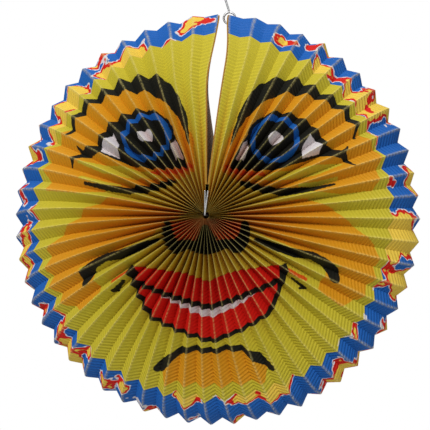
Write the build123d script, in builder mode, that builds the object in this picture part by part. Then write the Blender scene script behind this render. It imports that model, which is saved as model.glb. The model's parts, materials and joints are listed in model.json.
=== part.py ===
"""Accordion paper lantern: a round fan of crimped paper between two card end boards.

The paper is a tube with a D-shaped section, folded into 54 pleats and opened to a ring about a hub wire.
Eighteen groups of three pleats stand one after another round the ring, each turning a little against the next
when the lantern is folded shut. The ring hangs by a wire hook from an eyelet in the right end board.

Frame: millimetres, origin in the eye of the hanger, +Z up, +X to the right of somebody who looks at the
printed face, and the printed face looks along -Y. The hub axis runs along Y, straight under the eye."""

import os
from math import acos, cos, degrees, radians, sin

from build123d import *

# Driving dimensions
FAN_RADIUS = 175.0  # hub axis to the tips of the mountain folds
FAN_HALF_DEPTH = 49.0  # mid plane to the mountain folds beside the hub
VALLEY_RADIUS = 168.7  # hub axis to the valley folds at the rim
VALLEY_HALF_DEPTH = 38.5  # mid plane to the valley folds beside the hub
MOUNTAIN_HUB = 3.0  # radius at which the mountain folds end round the hub wire
VALLEY_HUB = 12.0  # and the valley folds
PAPER_WALL = 0.6  # wall as modelled, measured in the plane of a fold
PLEATS = 54
GROUPS = 18
GAP_ANGLE = 6.6  # between the two end boards when the lantern is open, along the printed face
BACK_TWIST = 8.4  # how much wider the gap is at the very back, where the pleats stand closer together
HUB_DROP = 221.0  # hanger's eye to hub axis

BOARD_THICK = 1.2
BOARD_INNER = 26.0  # the boards stop short of the hub, where they would meet
RIGHT_KNEE = 145.0  # radius at which the right board starts to lean towards the gap
RIGHT_TIP_X = 12.5  # how far right of the hub axis the right board's tip stands
LEFT_KNEE = 118.0
LEFT_TIP_X = 15.0  # the same for the left board along the printed face, before its twist
LEFT_LEAN_SPREAD = 78.0  # degrees of the ring over which the paper shares the left board's lean
BOARD_BEND = 120.0  # radius of the soft bend
BOARD_TWIST = BACK_TWIST - 0.05  # the left board's own twist: the card springs back a little from the paper

EYELET_HOLE = 2.6  # radii of the eyelet
EYELET_TUBE = 3.1
EYELET_FLANGE = 4.6
FLANGE_THICK = 0.3
EYELET_FROM_TIP = 7.5

WIRE = 1.8  # hanger wire diameter
EYE_RADIUS = 5.5  # centre line of the hanger's eye
RING_RADIUS = 5.0  # centre line of the wire ring through the eyelet
HUB_WIRE = 1.3
HUB_OVERHANG = 2.6  # how far the hub wire stands out of the pleats at the front and back
FRONT_LEG = 20.0  # the hub wire's two ends, bent up over the printed face
FRONT_LEG_TURNS = (0.5, 7.5)  # how far each leans clockwise from straight up
BACK_LEG = 9.0

# Worked out from them
HUB = (0, 0, -HUB_DROP)
HALF_PITCH = (360 - GAP_ANGLE) / PLEATS / 2
FOLDS_PER_GROUP = 2 * PLEATS // GROUPS
MOUNTAIN = (FAN_RADIUS, FAN_HALF_DEPTH, MOUNTAIN_HUB)
VALLEY = (VALLEY_RADIUS, VALLEY_HALF_DEPTH, VALLEY_HUB)
RIM_EDGE = 31.0  # where the rim band ends, as an angle on the ellipse of the D
SHOULDER = 55.0  # where the outer face band meets the inner one
HUB_EDGE = None  # stands for the end of the ellipse beside the hub
BANDS = (
    (-RIM_EDGE, RIM_EDGE),
    (RIM_EDGE, SHOULDER),
    (-SHOULDER, -RIM_EDGE),
    (SHOULDER, HUB_EDGE),
    (HUB_EDGE, -SHOULDER),
)
BAND_STEP = 8.0  # longest step round the ellipse in a band, in degrees


def band_ends(fold, start, end):
    """Where a band starts and ends on a fold's ellipse, in degrees."""
    radius, _, hub = fold
    hub_angle = degrees(acos(hub / radius))
    return (-hub_angle if start is HUB_EDGE else start), (hub_angle if end is HUB_EDGE else end)


def band_strip(fold, start, end):
    """One band of the paper's section at a fold, as (outer, inner) pairs of (radius, depth) points."""
    radius, depth, _ = fold
    start, end = band_ends(fold, start, end)
    steps = round(abs(end - start) / BAND_STEP)
    angles = [radians(start + (end - start) * i / steps) for i in range(steps + 1)]
    return [
        ((radius * cos(a), depth * sin(a)), ((radius - PAPER_WALL) * cos(a), (depth - PAPER_WALL) * sin(a)))
        for a in angles
    ]


def hub_strip(fold):
    """The short straight wall that closes the section beside the hub, as the same kind of pairs."""
    radius, depth, hub = fold
    reach = (depth - PAPER_WALL) * sin(acos(hub / radius))
    return [((hub + PAPER_WALL, y), (hub, y)) for y in (-reach, 0, reach)]


def twisted_point(turn, radius, depth):
    """A point of the ring. Each fold leans towards the right end board as it goes back, and the last ones bend
    towards the gap with the left end board."""
    share = (turn - GAP_ANGLE) / (360 - GAP_ANGLE)
    a = radians(turn - BACK_TWIST * share * (depth + FAN_HALF_DEPTH) / (2 * FAN_HALF_DEPTH))
    nearness = max(0, 1 - (360 - turn) / LEFT_LEAN_SPREAD)
    lean = LEFT_TIP_X * nearness**2 * max(0, radius - LEFT_KNEE) / (FAN_RADIUS - LEFT_KNEE)
    return Vector(radius * sin(a) + lean * cos(a), depth, radius * cos(a) - lean * sin(a)) + Vector(*HUB)


def twisted_band(turns, strips):
    """A thin wall over a row of folds, in flat triangles because its folds are twisted against each other.
    Both faces of the wall are split along the same diagonals, so that they stay side by side."""
    outer, inner = (
        [[twisted_point(turn, *pair[side]) for pair in strip] for turn, strip in zip(turns, strips)]
        for side in (0, 1)
    )
    steps = range(len(outer[0]) - 1)
    quads = [(outer[0][i], inner[0][i], inner[0][i + 1], outer[0][i + 1]) for i in steps]
    quads += [(outer[-1][i], outer[-1][i + 1], inner[-1][i + 1], inner[-1][i]) for i in steps]
    for out_a, out_b, in_a, in_b in zip(outer, outer[1:], inner, inner[1:]):
        quads += [(out_a[i], out_a[i + 1], out_b[i + 1], out_b[i]) for i in steps]
        quads += [(in_a[i], in_b[i], in_b[i + 1], in_a[i + 1]) for i in steps]
        quads += [(out_a[0], out_b[0], in_b[0], in_a[0]), (out_b[-1], out_a[-1], in_a[-1], in_b[-1])]
    faces = []
    for a, b, c, d in quads:
        faces += [Face(Wire.make_polygon([a, b, c])), Face(Wire.make_polygon([a, c, d]))]
    return Solid(Shell(faces))


def paper_group(first_turn):
    """Three pleats, from mountain to mountain: bands of one wall that meet edge to edge round the section."""
    turns = [first_turn + i * HALF_PITCH for i in range(FOLDS_PER_GROUP + 1)]
    shapes = [VALLEY if i % 2 else MOUNTAIN for i in range(FOLDS_PER_GROUP + 1)]
    bands = [twisted_band(turns, [band_strip(fold, start, end) for fold in shapes]) for start, end in BANDS]
    return bands + [twisted_band(turns, [hub_strip(fold) for fold in shapes])]


FRONT = Plane(origin=HUB, x_dir=(1, 0, 0), z_dir=(0, -1, 0))  # its own x, y run along X and Z
SIDE = Plane(origin=HUB, x_dir=(0, 1, 0), z_dir=(1, 0, 0))  # its own x, y run along Y and Z


def board_line(turn, knee_radius, tip_x):
    """Where a board's glued face runs, seen from the front: out from the hub, and past the knee to the tip."""
    a = radians(turn)
    inner = Vector(sin(a), cos(a)) * BOARD_INNER
    knee = Vector(sin(a), cos(a)) * knee_radius
    tip = Vector(tip_x, FAN_RADIUS)
    return inner, knee, tip


def eyelet_plane():
    """Plane across the middle of the right board's thickness at its eyelet, facing away from the glued paper."""
    _, knee, tip = board_line(GAP_ANGLE, RIGHT_KNEE, RIGHT_TIP_X)
    out = (tip - knee).normalized()
    across = Vector(-out.Y, out.X)
    spot = tip - out * EYELET_FROM_TIP + across * BOARD_THICK / 2
    return Plane(
        origin=(spot.X, 0, spot.Y - HUB_DROP), x_dir=(0, 1, 0), z_dir=(across.X, 0, across.Y)
    )


RIGHT_SPOT = eyelet_plane()

# The right end board: D-shaped card, glued to the first pleat, with a hole for the eyelet
with BuildPart() as right_board:
    with BuildSketch(FRONT):
        with BuildLine():
            FilletPolyline(*board_line(GAP_ANGLE, RIGHT_KNEE, RIGHT_TIP_X), radius=BOARD_BEND)
            offset(amount=BOARD_THICK, side=Side.LEFT)
        make_face()
    extrude(amount=FAN_HALF_DEPTH, both=True)
    with BuildSketch(SIDE):
        Ellipse(FAN_HALF_DEPTH, FAN_RADIUS)
    extrude(amount=FAN_RADIUS / 4, both=True, mode=Mode.INTERSECT)
    with BuildSketch(RIGHT_SPOT):
        Circle(EYELET_TUBE)
    extrude(amount=2 * BOARD_THICK, both=True, mode=Mode.SUBTRACT)

# The left end board, glued to the last pleat: twisted away from the gap towards its back
def left_board_section(depth, twist):
    """The left board's outline across its thickness, at a depth and turned about the hub."""
    a = radians(twist)
    with BuildSketch(Plane(origin=(0, depth, -HUB_DROP), x_dir=(cos(a), 0, sin(a)), z_dir=(0, -1, 0))) as section:
        with BuildLine():
            FilletPolyline(*board_line(0, LEFT_KNEE, LEFT_TIP_X), radius=BOARD_BEND)
            offset(amount=BOARD_THICK, side=Side.RIGHT)
        make_face()
    return section.sketch.face()


with BuildPart() as left_board:
    loft([left_board_section(-FAN_HALF_DEPTH, 0), left_board_section(FAN_HALF_DEPTH, BOARD_TWIST)], ruled=True)
    with BuildSketch(SIDE):
        Ellipse(FAN_HALF_DEPTH, FAN_RADIUS)
    extrude(amount=FAN_RADIUS / 4, both=True, mode=Mode.INTERSECT)

# A brass eyelet rolled over both faces of the right board
with BuildPart() as hanger_eyelet:
    with BuildSketch(RIGHT_SPOT):
        Circle(EYELET_TUBE)
    extrude(amount=BOARD_THICK / 2, both=True)
    with BuildSketch(RIGHT_SPOT.offset(BOARD_THICK / 2), RIGHT_SPOT.offset(-BOARD_THICK / 2 - FLANGE_THICK)):
        Circle(EYELET_FLANGE)
    extrude(amount=FLANGE_THICK)
    with BuildSketch(RIGHT_SPOT):
        Circle(EYELET_HOLE)
    extrude(amount=2 * BOARD_THICK, both=True, mode=Mode.SUBTRACT)


def wire(start, end, diameter):
    """A straight run of wire, added to the part being built."""
    run = Vector(*end) - Vector(*start)
    with BuildSketch(Plane(origin=start, z_dir=run)) as section:
        Circle(diameter / 2)
    extrude(section.sketch, amount=run.length)


def bend(at, diameter):
    """The round outside of a tight bend between two runs."""
    with Locations(at):
        Sphere(diameter / 2)


def wire_ring(centre, radius, diameter):
    """A closed ring of wire that faces the printed side."""
    with Locations(Location(centre, (90, 0, 0))):
        Torus(radius, diameter / 2)


# The hanger: a ring through the eyelet and round the board's edge, a straight shank, and the eye on top
ring_centre = RIGHT_SPOT.origin + RIGHT_SPOT.x_dir.cross(RIGHT_SPOT.z_dir).normalized() * RING_RADIUS
with BuildPart() as hanger_wire:
    wire_ring(ring_centre, RING_RADIUS, WIRE)
    wire_ring((0, 0, 0), EYE_RADIUS, WIRE)
    wire((ring_centre.X, 0, ring_centre.Z + RING_RADIUS), (0, 0, -EYE_RADIUS), WIRE)

# The hub wire: through the middle of the fan, with two ends bent up at the front and one at the back
front_y = -FAN_HALF_DEPTH - HUB_OVERHANG
back_y = FAN_HALF_DEPTH + HUB_OVERHANG
with BuildPart() as hub_wire:
    wire((0, front_y, -HUB_DROP), (0, back_y, -HUB_DROP), HUB_WIRE)
    bend((0, front_y, -HUB_DROP), HUB_WIRE)
    for side in FRONT_LEG_TURNS:
        leg_end = (FRONT_LEG * sin(radians(side)), front_y, FRONT_LEG * cos(radians(side)) - HUB_DROP)
        wire((0, front_y, -HUB_DROP), leg_end, HUB_WIRE)
        bend(leg_end, HUB_WIRE)
    bend((0, back_y, -HUB_DROP), HUB_WIRE)
    wire((0, back_y, -HUB_DROP), (0, back_y, BACK_LEG - HUB_DROP), HUB_WIRE)
    bend((0, back_y, BACK_LEG - HUB_DROP), HUB_WIRE)

right_board.part.label = "right_board"
left_board.part.label = "left_board"
hanger_eyelet.part.label = "hanger_eyelet"
hanger_wire.part.label = "hanger_wire"
hub_wire.part.label = "hub_wire"

os.makedirs("parts", exist_ok=True)
export_step(right_board.part, "parts/right_board.step")
export_step(left_board.part, "parts/left_board.step")
export_step(hanger_eyelet.part, "parts/hanger_eyelet.step")
export_step(hanger_wire.part, "parts/hanger_wire.step")
export_step(hub_wire.part, "parts/hub_wire.step")

# The paper, group by group round the ring
for group in range(GROUPS):
    first_turn = GAP_ANGLE + group * FOLDS_PER_GROUP * HALF_PITCH
    pleat_group = Compound(label=f"pleat_group_{group + 1:02d}", children=paper_group(first_turn))
    export_step(pleat_group, f"parts/{pleat_group.label}.step")
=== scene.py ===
import json
import math

import bpy
import numpy as np
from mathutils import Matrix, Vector


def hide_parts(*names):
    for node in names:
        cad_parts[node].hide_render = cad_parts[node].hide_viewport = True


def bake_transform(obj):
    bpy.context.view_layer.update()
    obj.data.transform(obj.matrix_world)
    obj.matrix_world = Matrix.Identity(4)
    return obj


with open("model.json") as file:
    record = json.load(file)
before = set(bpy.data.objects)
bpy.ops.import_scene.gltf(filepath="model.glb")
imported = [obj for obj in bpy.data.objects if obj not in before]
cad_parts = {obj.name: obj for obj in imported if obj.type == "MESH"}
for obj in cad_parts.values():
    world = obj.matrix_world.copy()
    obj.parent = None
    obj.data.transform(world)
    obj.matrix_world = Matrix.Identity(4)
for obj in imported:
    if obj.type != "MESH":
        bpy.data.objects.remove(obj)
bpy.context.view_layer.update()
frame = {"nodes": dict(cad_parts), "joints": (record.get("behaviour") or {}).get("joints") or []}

# ---- Sizes, in metres unless a name says otherwise ----
MM = 0.001
joints = {j["name"]: j for j in frame["joints"]}
HUB = Vector(joints["fan_fold"]["pos_m"])
GROUPS = sum(name.startswith("pleat_group") for name in frame["nodes"])
PLEATS_PER_GROUP = 3
FOLDS_PER_GROUP = 2 * PLEATS_PER_GROUP
FOLDS = GROUPS * FOLDS_PER_GROUP
GAP_TURN = 6.6  # degrees between the end boards
BACK_TWIST = 8.4  # how much wider the gap is at the very back
HALF_PITCH = (360 - GAP_TURN) / FOLDS

FAN_RADIUS, FAN_HALF_DEPTH = 175.0 * MM, 49.0 * MM
VALLEY_RADIUS, VALLEY_HALF_DEPTH = 168.7 * MM, 38.5 * MM
FOLD_END = 3.2 * MM  # radius at which the folds end beside the hub wire
PAPER = 0.35 * MM
RIB_PITCH = 3.2 * MM
RIB_HEIGHT = 0.28 * MM
RIB_FULL_RADIUS = 60 * MM  # beyond this the ribs stand at their full height
END_RIB_GAIN, END_RIB_FOLDS = 0.3, 9  # how much bolder the ribs stand on the folds beside the boards
END_DEPTH, END_DEPTH_FOLDS = 0.35, 7  # the share of its depth that a valley keeps at the boards
SAMPLES_PER_RIB = 4
STEPS_PER_FACET = 3
SETTLE = 55 * MM  # how fast the herringbone's slant grows away from the hub
HUB_STOP = 1.2 * MM  # no paper comes nearer to the hub axis
EASE, EASE_FROM, EASE_TO = 0.5, 120 * MM, 150 * MM  # within these radii the print zigzags less than the folds
FACE_FOOT = 179  # degrees clockwise at which the chin of the printed face lies

rng = np.random.default_rng(11)
fold_turn_slip = rng.normal(0, 0.04, FOLDS + 1)
fold_reach_slip = rng.normal(0, 0.5 * MM, FOLDS + 1)
fold_depth_slip = rng.normal(0, 0.45 * MM, FOLDS + 1)
for slips in (fold_turn_slip, fold_reach_slip, fold_depth_slip):
    slips[[0, -1]] = 0


# ---- The paper's mesh ----
def section_angles():
    """Angles on the mountain folds' ellipse, evenly spaced along it, from hub to rim to hub."""
    end = math.acos(FOLD_END / FAN_RADIUS)
    fine = np.linspace(-end, end, 4001)
    x, y = FAN_RADIUS * np.cos(fine), FAN_HALF_DEPTH * np.sin(fine)
    run = np.concatenate([[0], np.cumsum(np.hypot(np.diff(x), np.diff(y)))])
    ribs = round(run[-1] / RIB_PITCH)
    at = np.linspace(0, run[-1], ribs * SAMPLES_PER_RIB + 1)
    return np.interp(at, run, fine), at


ANGLES, RUN = section_angles()
HALF_RUN = RUN[-1] / 2
WAVE = np.sin(2 * np.pi * RUN / (RUN[-1] / round(RUN[-1] / RIB_PITCH)))
MOUNTAIN_R = FAN_RADIUS * np.cos(ANGLES)
MOUNTAIN_Y = FAN_HALF_DEPTH * np.sin(ANGLES)
SLANT_SHARE = (1 - np.exp(-MOUNTAIN_R / SETTLE)) / (1 - math.exp(-FAN_RADIUS / SETTLE))
SLANT = (FAN_RADIUS - VALLEY_RADIUS) * SLANT_SHARE
VALLEY_R = MOUNTAIN_R - SLANT
VALLEY_HEIGHT = np.sqrt(np.clip(1 - (VALLEY_R / VALLEY_RADIUS) ** 2, 0, 1))
VALLEY_Y = np.sign(ANGLES) * VALLEY_HALF_DEPTH * VALLEY_HEIGHT
PRINT_R = (MOUNTAIN_R + VALLEY_R) / 2
PRINT_EASE = EASE * SLANT * np.clip((EASE_TO - MOUNTAIN_R) / (EASE_TO - EASE_FROM), 0, 1)


def flatness(fold):
    """How much of its depth a valley keeps: the pleats beside the end boards are pulled flatter."""
    near = min(fold, FOLDS - fold)
    return min(1.0, END_DEPTH + (1 - END_DEPTH) * near / END_DEPTH_FOLDS)


def board_lean(r, start, full, slope):
    """How far a board's face stands off its straight line, at a distance from the hub axis."""
    x = np.clip(r - start, 0, full - start)
    return slope * (x * x / 2 / (full - start) + np.clip(r - full, 0, None))


RIGHT_BEND = (130 * MM, 160 * MM, 0.253)
LEFT_BEND = (103 * MM, 133 * MM, 0.263)
RIGHT_LEAN_FOLDS, LEFT_LEAN_FOLDS = 9, 24  # folds that share each board's lean


def fold_lean(fold, r):
    """A fold's share of the nearer board's lean, towards the gap."""
    right = max(0, 1 - fold / RIGHT_LEAN_FOLDS) ** 2
    left = max(0, 1 - (FOLDS - fold) / LEFT_LEAN_FOLDS) ** 2
    return left * board_lean(r, *LEFT_BEND) - right * board_lean(r, *RIGHT_BEND)


def fold_points(fold, shrink):
    """Points along a fold, from the hub over the front, the rim and the back to the hub."""
    mountain = fold % 2 == 0
    if mountain:
        r, y = MOUNTAIN_R.copy(), MOUNTAIN_Y.copy()
    else:
        keep = flatness(fold)
        r = MOUNTAIN_R + (VALLEY_R - MOUNTAIN_R) * keep
        y = MOUNTAIN_Y + (VALLEY_Y - MOUNTAIN_Y) * keep
    out = r / FAN_RADIUS
    r = r + fold_reach_slip[fold] * out
    y = y * (1 + fold_depth_slip[fold] / FAN_HALF_DEPTH)
    dr, dy = np.gradient(r), np.gradient(y)
    size = np.hypot(dr, dy)
    normal_r, normal_y = dy / size, -dr / size
    bold = 1 + END_RIB_GAIN * max(0, 1 - min(fold, FOLDS - fold) / END_RIB_FOLDS)
    move = WAVE * RIB_HEIGHT * bold * np.clip(r / RIB_FULL_RADIUS, 0.15, 1) - shrink
    r, y = r + normal_r * move, y + normal_y * move
    r = np.maximum(r, HUB_STOP)
    twist = BACK_TWIST * fold / FOLDS * (y + FAN_HALF_DEPTH) / (2 * FAN_HALF_DEPTH)
    turn = np.radians(GAP_TURN + fold * HALF_PITCH + fold_turn_slip[fold] - twist)
    x, z = r * np.sin(turn), r * np.cos(turn)
    off = fold_lean(fold, r)
    x, z = x + off * np.cos(turn), z - off * np.sin(turn)
    return np.stack([HUB.x + x, HUB.y + y, HUB.z + z], axis=1)


def print_angle(fold):
    """Where on the printed round a fold lies, in radians clockwise from the face's own upright."""
    turn = GAP_TURN + fold * HALF_PITCH
    if turn < FACE_FOOT:
        return math.radians(180 * (turn - GAP_TURN) / (FACE_FOOT - GAP_TURN))
    return math.radians(180 + 180 * (turn - FACE_FOOT) / (360 - FACE_FOOT))


def paper_mesh(group):
    """Mesh of one group of pleats: a thin closed shell with its print coordinates in millimetres."""
    first = group * FOLDS_PER_GROUP
    columns, prints, folds_at = [], [], []
    for fold in range(first, first + FOLDS_PER_GROUP):
        here = (fold_points(fold, 0), fold_points(fold, PAPER))
        there = (fold_points(fold + 1, 0), fold_points(fold + 1, PAPER))
        last = fold == first + FOLDS_PER_GROUP - 1
        for step in range(STEPS_PER_FACET + last):
            s = step / STEPS_PER_FACET
            columns.append([a + (b - a) * s for a, b in zip(here, there)])
            prints.append(print_angle(fold) * (1 - s) + print_angle(fold + 1) * s)
            folds_at.append(fold + s)
    outer = np.stack([c[0] for c in columns])
    inner = np.stack([c[1] for c in columns])
    n, m = outer.shape[:2]
    co = np.concatenate([outer.reshape(-1, 3), inner.reshape(-1, 3)])
    i, j = np.meshgrid(np.arange(n - 1), np.arange(m), indexing="ij")
    k = (j + 1) % m
    quads = np.stack([i * m + j, (i + 1) * m + j, (i + 1) * m + k, i * m + k], axis=-1).reshape(-1, 4)
    skin = n * m
    caps = []
    for side in (0, n - 1):
        a = side * m + np.arange(m)
        b = side * m + (np.arange(m) + 1) % m
        ring = np.stack([a, b, b + skin, a + skin], axis=1)
        caps.append(ring if side == 0 else ring[:, ::-1])
    faces = np.concatenate([quads, quads[:, ::-1] + skin, *caps])
    mesh = bpy.data.meshes.new(f"paper_{group + 1:02d}")
    mesh.from_pydata(co.tolist(), [], faces.tolist())
    angle = np.repeat(np.array(prints)[:, None], m, axis=1)
    run = np.repeat((HALF_RUN - np.abs(RUN - HALF_RUN))[None, :], n, axis=0)
    across = np.array(folds_at)[:, None] + 0 * angle
    away = np.abs(across - 2 * np.round(across / 2))  # 0 on a mountain fold, 1 on a valley fold
    radius = PRINT_R + PRINT_EASE * (0.5 - away)
    place = np.stack([radius * np.sin(angle), radius * np.cos(angle), run], axis=-1).reshape(-1, 3) / MM
    layout = mesh.attributes.new("print_place", "FLOAT_VECTOR", "POINT")
    layout.data.foreach_set("vector", np.concatenate([place, place]).astype(np.float32).ravel())
    crease = mesh.attributes.new("fold_away", "FLOAT", "POINT")
    crease.data.foreach_set("value", np.concatenate([away.ravel(), away.ravel()]).astype(np.float32))
    share = mesh.attributes.new("fold_share", "FLOAT", "POINT")
    part_way = ((across - first) / FOLDS_PER_GROUP).ravel()
    share.data.foreach_set("value", np.concatenate([part_way, part_way]).astype(np.float32))
    inside = np.zeros(len(faces), np.int32)
    inside[len(quads):] = 1
    mesh.polygons.foreach_set("material_index", inside)
    mesh.polygons.foreach_set("use_smooth", np.ones(len(faces), bool))
    mesh.validate()
    mesh.update()
    return mesh


def sharpen(mesh, angle):
    mesh.set_sharp_from_angle(angle=math.radians(angle))


# ---- Shader maths as expressions ----
class Val:
    """A number in a material's nodes, which takes arithmetic."""

    def __init__(self, mat, socket):
        self.mat, self.socket = mat, socket

    def _math(self, operation, *others, clamp=False):
        settings = {"operation": operation, "use_clamp": clamp}
        return self.mat.node("ShaderNodeMath", settings, dict(enumerate((self, *others))))

    def __add__(self, o):
        return self._math("ADD", o)

    __radd__ = __add__

    def __sub__(self, o):
        return self._math("SUBTRACT", o)

    def __rsub__(self, o):
        return self.mat.node("ShaderNodeMath", {"operation": "SUBTRACT"}, {0: o, 1: self})

    def __mul__(self, o):
        return self._math("MULTIPLY", o)

    __rmul__ = __mul__

    def __neg__(self):
        return self._math("MULTIPLY", -1.0)

    def __abs__(self):
        return self._math("ABSOLUTE")

    def plus(self, factor, addend):
        """self * factor + addend in one node."""
        return self._math("MULTIPLY_ADD", factor, addend)

    def low(self, o):
        return self._math("MINIMUM", o)

    def high(self, o):
        return self._math("MAXIMUM", o)

    def root(self):
        return self._math("SQRT")

    def clamped(self):
        return self._math("ADD", 0.0, clamp=True)


class Paint:
    """A material made of a Principled shader, with short ways to add nodes."""

    def __init__(self, name):
        self.material = bpy.data.materials.new(name)
        self.material.use_nodes = True
        self.tree = self.material.node_tree
        self.shader = self.tree.nodes["Principled BSDF"]

    def node(self, kind, settings=None, sockets=None, out=0):
        n = self.tree.nodes.new(kind)
        for key, value in (settings or {}).items():
            setattr(n, key, value)
        for key, value in (sockets or {}).items():
            if isinstance(value, Val):
                self.tree.links.new(value.socket, n.inputs[key])
            else:
                n.inputs[key].default_value = value
        return Val(self, n.outputs[out])

    def feed(self, key, value):
        if isinstance(value, Val):
            self.tree.links.new(value.socket, self.shader.inputs[key])
        else:
            self.shader.inputs[key].default_value = value

    def mix(self, factor, a, b, blend="MIX"):
        """Colour a where factor is 0 and b where it is 1."""
        sockets = {"Factor": factor, 6: a, 7: b}
        return self.node("ShaderNodeMix", {"data_type": "RGBA", "blend_type": blend}, sockets, out=2)

    def noise(self, vector, scale, detail=2.0, rough=0.5):
        sockets = {"Scale": scale, "Detail": detail, "Roughness": rough}
        if vector is not None:
            sockets["Vector"] = vector
        return self.node("ShaderNodeTexNoise", {}, sockets)

    def attribute(self, name, out="Fac"):
        return self.node("ShaderNodeAttribute", {"attribute_name": name}, {}, out=out)

    def bump(self, height, strength, distance):
        sockets = {"Strength": strength, "Distance": distance, "Height": height}
        return self.node("ShaderNodeBump", {}, sockets)


def ink(r, g, b):
    """A colour from its display values, 0 to 255."""
    def linear(c):
        c /= 255
        return c / 12.92 if c < 0.04045 else ((c + 0.055) / 1.055) ** 2.4
    return (linear(r), linear(g), linear(b), 1.0)


# ---- Shapes of the print: signed distances in millimetres, negative inside ----
def oval(x, y, cx, cy, rx, ry):
    a, b = (x - cx) * (1 / rx), (y - cy) * (1 / ry)
    return ((a * a).plus(1.0, b * b).root() - 1.0) * min(rx, ry)


def patch(x, y, corners):
    """A convex patch with the given corners, in either order."""
    cx = sum(c[0] for c in corners) / len(corners)
    cy = sum(c[1] for c in corners) / len(corners)
    found = None
    for (ax, ay), (bx, by) in zip(corners, corners[1:] + corners[:1]):
        nx, ny = by - ay, ax - bx
        size = math.hypot(nx, ny)
        nx, ny = nx / size, ny / size
        if (cx - ax) * nx + (cy - ay) * ny > 0:
            nx, ny = -nx, -ny
        side = x.plus(nx, y.plus(ny, -(ax * nx + ay * ny)))
        found = side if found is None else found.high(side)
    return found


def brush(x, y, *stops):
    """A brush line through (x, y, half width) stops."""
    found = None
    for (ax, ay, ar), (bx, by, br) in zip(stops, stops[1:]):
        dx, dy = bx - ax, by - ay
        size = dx * dx + dy * dy
        px, py = x - ax, y - ay
        along = px.plus(dx / size, py * (dy / size)).clamped()
        qx, qy = along.plus(-dx, px), along.plus(-dy, py)
        line = (qx * qx + qy * qy).root() - along.plus(br - ar, ar)
        found = line if found is None else found.low(line)
    return found


YELLOW = ink(188, 175, 46)
ORANGE = ink(202, 140, 18)
DEEP_ORANGE = ink(200, 78, 16)
BLACK = ink(22, 22, 15)
BLUE = ink(22, 92, 172)
RED = ink(202, 24, 12)
WHITE = ink(208, 205, 208)
FLAME_YELLOW = ink(222, 190, 70)
EDGE_SOFT = 0.45  # width in millimetres over which two inks meet
BAND_START = 157.5  # millimetres along the paper from the hub to the blue band


def lay(paint, colour, distance, new):
    """Prints a new ink over a colour, inside a shape."""
    return paint.mix(distance.plus(-1 / EDGE_SOFT, 0.5).clamped(), colour, new)


def orange_fields(paint, colour, x, y):
    around_eye = patch(x, y, [(9, 38), (11, 65), (22, 95), (40, 112), (70, 113), (88, 107), (106, 95),
                              (125, 76), (139, 62), (142, 47), (139, 28), (110, 23), (66, 26), (31, 28)])
    cheek = patch(x, y, [(6, 1), (19, 4), (80, 19), (104, 11), (126, -7), (142, -22), (143, -40),
                         (107, -47), (76, -30), (40, -12)])
    jowl = patch(x, y, [(103, -42), (143, -36), (139, -53), (127, -70), (111, -74), (94, -60)])
    for field in (around_eye, cheek, jowl):
        colour = lay(paint, colour, field, ORANGE)
    under_eye = brush(x, y, (110, 50, 0.8), (88, 43, 4.2), (62, 37, 4.0), (40, 34, 1.5))
    colour = lay(paint, colour, under_eye, YELLOW)
    under_eye_2 = brush(x, y, (108, 37, 1.5), (90, 31, 2.0), (76, 29, 1.0))
    colour = lay(paint, colour, under_eye_2, YELLOW)
    return lay(paint, colour, brush(x, y, (14, 42, 2.4), (24, 38, 2.2), (46, 38, 1.4)), DEEP_ORANGE)


def brow(paint, colour, x, y):
    line = brush(x, y, (14, 60, 0.6), (17, 74, 2.4), (21, 87, 4.0), (27, 97, 5.6), (37, 109, 7.8),
                 (46, 114, 7.4), (58, 115, 6.6), (73, 114, 5.2), (84, 109.5, 3.4), (97, 104.5, 3.1),
                 (108, 97, 2.8), (117, 86, 2.2), (120, 74, 1.0))
    return lay(paint, colour, line, BLACK)


def eye(paint, colour, x, y):
    outline = patch(x, y, [(16, 41), (20, 54), (30, 75), (40, 88), (50, 92.5), (60, 92.5), (76, 87), (88, 78),
                           (96, 67), (94, 57), (77, 50), (62, 43.5), (42, 40.5)])
    colour = lay(paint, colour, outline, BLACK)
    colour = lay(paint, colour, brush(x, y, (88, 62, 5.5), (110, 57.5, 3.0), (120, 48.5, 0.7)), BLACK)
    colour = lay(paint, colour, brush(x, y, (109, 58, 2.6), (113.5, 65, 0.6)), BLACK)
    colour = lay(paint, colour, patch(x, y, [(81, 74), (92, 65), (91, 58), (76, 52.5), (76, 64)]), WHITE)
    colour = lay(paint, colour, patch(x, y, [(31.5, 72), (25, 63), (20, 49.5), (27, 48), (30, 58)]), WHITE)
    iris = oval(x, y, 51.5, 68.5, 21.6, 20.6)
    colour = lay(paint, colour, iris - 2.2, BLACK)
    colour = lay(paint, colour, iris, BLUE)
    colour = lay(paint, colour, iris + 4.3, BLACK)
    colour = lay(paint, colour, oval(x, y, 52, 69.5, 6.6, 5.4), WHITE)
    under = brush(x, y, (29, 29, 2.4), (47, 24.5, 3.2), (66, 23, 3.2), (88, 27, 2.0), (106, 32, 1.1))
    return lay(paint, colour, under, BLACK)


def nose(paint, colour, x, y):
    flesh = patch(x, y, [(-1, -2), (34, -5), (35, -16), (27, -26), (-1, -28)])
    colour = lay(paint, colour, flesh, DEEP_ORANGE)
    outline = brush(x, y, (33, -7, 3.4), (33.5, -12, 4.8), (31.5, -20, 5.4), (26, -26, 5.8),
                    (16.5, -23.5, 3.8), (8, -26, 5.2), (-2, -27.5, 5.8))
    colour = lay(paint, colour, outline, BLACK)
    colour = lay(paint, colour, brush(x, y, (0, -11, 3.4), (1, -20, 7.5)), BLACK)
    return lay(paint, colour, brush(x, y, (-1, -2, 1.6), (-1, -13, 0.6)), ORANGE)


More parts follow.
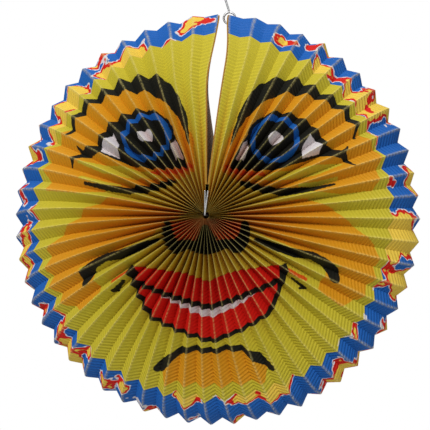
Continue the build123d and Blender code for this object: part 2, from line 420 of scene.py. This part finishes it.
def smile_line(paint, colour, x, y):
    line = brush(x, y, (43, -20, 2.0), (58, -25, 3.3), (76, -30, 4.0), (90, -32, 3.8), (101, -38, 4.2),
                 (107, -45, 5.0), (108, -50, 4.7))
    colour = lay(paint, colour, line, BLACK)
    colour = lay(paint, colour, brush(x, y, (66, -43, 1.8), (84, -52, 1.4)), DEEP_ORANGE)
    hook = brush(x, y, (73, -52, 0.9), (80, -58, 1.4), (84, -60.5, 1.2), (79, -60.5, 0.8))
    return lay(paint, colour, hook, BLACK)


def mouth(paint, colour, x, y):
    """The lips and teeth, from outside inwards; their lines sag towards the middle."""
    lower_edge = y - x.plus(0.25, (x * x).plus(0.0036, -107.0))
    top_edge = y - x.plus(0.42, -55.5).low(x.plus(0.17, -51.0))
    corner = patch(x, y, [(-4, -30), (67, -34), (70, -45), (66, -56), (59, -72), (49, -90), (-4, -130)])
    whole = corner.high(top_edge).high(-lower_edge)
    line = y - x.plus(0.25, (x * x).plus(0.002, -77.0))
    colour = lay(paint, colour, whole, BLACK)
    upper_lip = whole.high(-line + 2.2).high(x - 62.0)
    colour = lay(paint, colour, upper_lip + 0.2, RED)
    lower_lip = (whole + 3.9).high(line + 2.4)
    colour = lay(paint, colour, lower_lip.high(x - 60.0), RED)
    teeth = line.high(-(line + 10.5 - (x * x) * 0.0036)) + 2.2
    return lay(paint, colour, teeth.high(x - 43.0).high(lower_lip), WHITE)


def chin(paint, colour, x, y):
    flesh = patch(x, y, [(-2, -113), (25, -113), (47, -126), (44, -139), (-2, -143)])
    colour = lay(paint, colour, flesh, ORANGE)
    line = brush(x, y, (-2, -114, 2.2), (14, -111, 2.4), (26, -112, 2.6), (37, -118, 3.4), (49, -127, 3.8))
    return lay(paint, colour, line, BLACK)


def flaming_rim(paint, colour, place, run):
    """The blue band round the rim, and the flames in it."""
    band = -run + BAND_START
    colour = lay(paint, colour, band, BLUE)
    tongues = paint.noise(place, 0.034, 1.0, 0.5) + (paint.noise(place, 0.15, 1.0, 0.5) - 0.5) * 0.13
    flame = (0.535 - tongues) * 80.0
    in_band = band - 1.0
    colour = lay(paint, colour, (flame - 1.4).high(in_band), WHITE)
    colour = lay(paint, colour, flame.high(in_band), RED)
    return lay(paint, colour, (flame + 3.4).high(in_band), FLAME_YELLOW)


def shade_highlight_and_wear(paint, colour, place, reach, mottle):
    """Painted shade darkens the colour towards the valley folds, most near the hub, and all over close to the
    hub; the mountain folds are lightened, partly ink rubbed off and partly a painted highlight on the ridges;
    a random mottle darkens the tone.
    """
    away = paint.attribute("fold_away")
    # painted shade: a warm brown darkening towards the valley folds, strongest near the hub
    valley_shade = away.plus(1.15, -0.1).clamped() * reach.plus(-1 / 95, 1.25).clamped()
    colour = paint.mix(valley_shade * 0.8, colour, ink(214, 120, 40), "MULTIPLY")
    # painted shade: the colour darkens all over close to the hub, where the pleats close up deep
    near_hub = reach.plus(-1 / 60, 1.3).clamped()
    colour = paint.mix(near_hub, colour, ink(240, 205, 165), "MULTIPLY")
    patchy = ((paint.noise(place, 0.45, 3.0, 0.7) * 2.2 - 0.7) + near_hub * 1.1).clamped()
    # the mountain folds turn pale cream, patchily and most near the hub: partly ink rubbed off, partly a
    # painted highlight on the ridges
    rub_and_ridge_highlight = (away * -5.0 + 1.0).clamped() * patchy
    colour = paint.mix(rub_and_ridge_highlight * 0.7, colour, ink(222, 208, 130))
    return paint.mix(mottle * 0.22, colour, ink(120, 80, 20), "MULTIPLY")


def printed_paper():
    paint = Paint("printed_paper")
    place = paint.attribute("print_place", out="Vector")
    u, v, run = (paint.node("ShaderNodeSeparateXYZ", {}, {0: place}, out=i) for i in range(3))
    x = abs(u) + (paint.noise(place, 0.09, 3.0, 0.6) - 0.5) * 3.0
    y = v + (paint.noise(place, 0.31, 2.0, 0.6) - 0.5) * 1.6
    colour = YELLOW
    for part in (orange_fields, brow, eye, nose, smile_line, mouth, chin):
        colour = part(paint, colour, x, y)
    colour = flaming_rim(paint, colour, place, run)
    reach = (u * u).plus(1.0, v * v).root()
    mottle = paint.noise(place, 0.6, 4.0, 0.7)
    # the colour gets painted shade in the valleys and near the hub, and pale ridges that are partly rubbed
    # ink and partly painted highlight
    paint.feed("Base Color", shade_highlight_and_wear(paint, colour, place, reach, mottle))
    paint.feed("Roughness", mottle * 0.25 + 0.5)
    paint.feed("Normal", paint.bump(paint.noise(place, 2.6, 3.0, 0.6), 0.25, 0.4 * MM))
    paint.feed("Specular IOR Level", 0.22)
    return paint.material


def paper_inside():
    paint = Paint("paper_inside")
    place = paint.attribute("print_place", out="Vector")
    mottle = paint.noise(place, 0.25, 4.0, 0.6)
    paint.feed("Base Color", paint.mix(mottle, ink(205, 190, 120), ink(222, 208, 150)))
    paint.feed("Roughness", 0.75)
    return paint.material


def card():
    paint = Paint("brown_card")
    where = paint.node("ShaderNodeTexCoord", {}, {}, out="Object")
    fibre = paint.noise(where, 900.0, 4.0, 0.7)
    blotch = paint.noise(where, 60.0, 3.0, 0.6)
    base = paint.mix(fibre, ink(140, 98, 34), ink(172, 128, 52))
    paint.feed("Base Color", paint.mix(blotch * 0.5, base, ink(96, 68, 36)))
    paint.feed("Roughness", fibre * 0.2 + 0.72)
    paint.feed("Specular IOR Level", 0.05)
    paint.feed("Normal", paint.bump(fibre, 0.35, 0.4 * MM))
    return paint.material


def metal(name, light, dark, rough):
    paint = Paint(name)
    where = paint.node("ShaderNodeTexCoord", {}, {}, out="Object")
    spots = paint.noise(where, 400.0, 4.0, 0.65)
    paint.feed("Base Color", paint.mix(spots, light, dark))
    paint.feed("Metallic", 1.0)
    paint.feed("Roughness", spots * 0.25 + rough)
    paint.feed("Normal", paint.bump(spots, 0.15, 0.2 * MM))
    return paint.material


PRINTED, INSIDE = printed_paper(), paper_inside()
CARD = card()
WIRE = metal("tinned_wire", ink(205, 206, 208), ink(150, 150, 150), 0.28)
BRASS = metal("eyelet_brass", ink(205, 170, 100), ink(150, 115, 60), 0.3)


def share_turn_by_fold(piece):
    """A fan turns about its hub; this reads each point's share of the group's folds from the mesh, and
    nothing is done with it.
    """
    points = len(piece.data.vertices)
    fold = np.empty(points, np.float32)
    piece.data.attributes["fold_share"].data.foreach_get("value", fold)


for group in range(GROUPS):
    mesh = paper_mesh(group)
    mesh.materials.append(PRINTED)
    mesh.materials.append(INSIDE)
    sharpen(mesh, 28)
    piece = bpy.data.objects.new(mesh.name, mesh)
    bpy.context.scene.collection.objects.link(piece)
    first_turn = GAP_TURN + group * FOLDS_PER_GROUP * HALF_PITCH
    last_turn = first_turn + FOLDS_PER_GROUP * HALF_PITCH
    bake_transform(piece)
    share_turn_by_fold(piece)
    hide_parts(f"pleat_group_{group + 1:02d}")


def finish_node(node, material):
    mesh = frame["nodes"][node].data
    mesh.materials.clear()
    mesh.materials.append(material)


finish_node("right_board", CARD)
finish_node("left_board", CARD)
finish_node("hanger_wire", WIRE)
finish_node("hub_wire", WIRE)
finish_node("hanger_eyelet", BRASS)


# ---- Stage, light and camera ----
def floor():
    mesh = bpy.data.meshes.new("floor")
    side, drop = 6.0, HUB.z - FAN_RADIUS - 1.2
    corners = [(-side, -side, drop), (side, -side, drop), (side, side, drop), (-side, side, drop)]
    mesh.from_pydata(corners, [], [(0, 1, 2, 3)])
    paint = Paint("pale_floor")
    paint.feed("Base Color", (0.8, 0.8, 0.79, 1))
    paint.feed("Roughness", 0.9)
    mesh.materials.append(paint.material)
    obj = bpy.data.objects.new("floor", mesh)
    bpy.context.scene.collection.objects.link(obj)


def softbox(name, place, size, power):
    light = bpy.data.lights.new(name, "AREA")
    light.shape, light.size, light.energy = "DISK", size, power
    obj = bpy.data.objects.new(name, light)
    obj.location = HUB + Vector(place)
    obj.rotation_mode = "QUATERNION"
    obj.rotation_quaternion = Vector(place).to_track_quat("Z", "Y")
    bpy.context.scene.collection.objects.link(obj)


floor()
softbox("key", (-0.4, -1.6, 1.15), 0.6, 33)
softbox("top", (0.0, -0.3, 1.9), 0.8, 6)
softbox("fill", (1.4, -1.6, -0.1), 1.0, 5)
softbox("back", (0.3, 1.9, 0.9), 1.2, 14)

world = bpy.data.worlds.new("studio")
bpy.context.scene.world = world
world.use_nodes = True
tree = world.node_tree
sky = tree.nodes["Background"]
sky.inputs["Color"].default_value = (1, 1, 1, 1)
sky.inputs["Strength"].default_value = 0.36
plain = tree.nodes.new("ShaderNodeBackground")
plain.inputs["Color"].default_value = (1, 1, 1, 1)
plain.inputs["Strength"].default_value = 1.0
choice = tree.nodes.new("ShaderNodeMixShader")
path = tree.nodes.new("ShaderNodeLightPath")
tree.links.new(path.outputs["Is Camera Ray"], choice.inputs[0])
tree.links.new(sky.outputs[0], choice.inputs[1])
tree.links.new(plain.outputs[0], choice.inputs[2])
tree.links.new(choice.outputs[0], tree.nodes["World Output"].inputs[0])

CAMERA_TURN, CAMERA_RISE = math.radians(10.0), math.radians(-4.0)
CAMERA_AWAY = 2.6
VIEW_WIDTH = 0.3672  # what the picture spans at the hub axis
AIM_SHIFT = (-0.0004, 0.0034)  # the middle of the picture, right of and above the middle of the fan
level = math.cos(CAMERA_RISE)
back = Vector((math.sin(CAMERA_TURN) * level, -math.cos(CAMERA_TURN) * level, math.sin(CAMERA_RISE)))
camera_data = bpy.data.cameras.new("camera")
camera_data.sensor_width = 36
camera_data.lens = 36 * CAMERA_AWAY / VIEW_WIDTH
camera_data.clip_end = 50
camera = bpy.data.objects.new("camera", camera_data)
camera.rotation_mode = "QUATERNION"
camera.rotation_quaternion = (-back).to_track_quat("-Z", "Y")
right, up = (camera.rotation_quaternion @ Vector(axis) for axis in ((1, 0, 0), (0, 1, 0)))
camera.location = HUB + back * CAMERA_AWAY + right * AIM_SHIFT[0] + up * AIM_SHIFT[1]
bpy.context.scene.collection.objects.link(camera)
bpy.context.scene.camera = camera
bpy.context.scene.view_settings.view_transform = "Standard"
